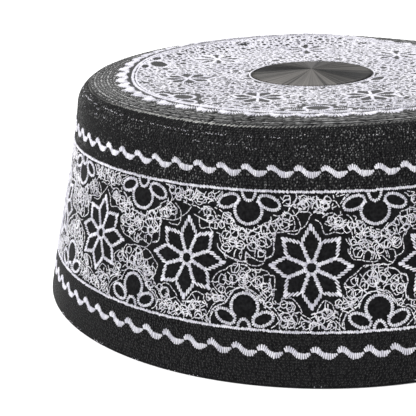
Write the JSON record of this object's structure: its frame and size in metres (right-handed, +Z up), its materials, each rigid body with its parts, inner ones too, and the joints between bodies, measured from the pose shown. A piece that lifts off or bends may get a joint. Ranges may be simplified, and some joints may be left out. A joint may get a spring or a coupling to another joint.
{
  "type": "kufi",
  "caption": "Stiff round embroidered cap with a flaring side band, a nearly flat crown and raised star, flower, wave and lace trims, open below for a head.",
  "frame": {"origin": "centre of the rim's circle, on the surface that the rim stands on", "axes": "+Z up along the cap's axis, -Y towards the front, +X to the right seen from the front"},
  "size_m": [0.1904, 0.1904, 0.0765],
  "materials": {
    "black_cloth": "machine-quilted black cloth in close rows of stitches",
    "black_satin": "black satin stitched from the middle outwards, soft directional sheen",
    "white_thread": "white embroidery thread in satin and running stitches, soft sheen"
  },
  "bodies": {
    "root": {"side_band": "black_cloth", "crown_top": "black_cloth", "crown_medallion": "black_satin", "crown_lace": "white_thread", "upper_wave_trim": "white_thread", "lower_wave_trim": "white_thread", "upper_border_and_flowers": "white_thread", "lower_border_and_flowers": "white_thread", "star_01": "white_thread", "star_02": "white_thread", "star_03": "white_thread", "star_04": "white_thread", "star_05": "white_thread", "star_06": "white_thread", "star_07": "white_thread", "star_08": "white_thread", "star_09": "white_thread", "star_10": "white_thread", "star_11": "white_thread", "star_12": "white_thread", "star_13": "white_thread", "star_14": "white_thread", "star_15": "white_thread"}
  },
  "joints": []
}
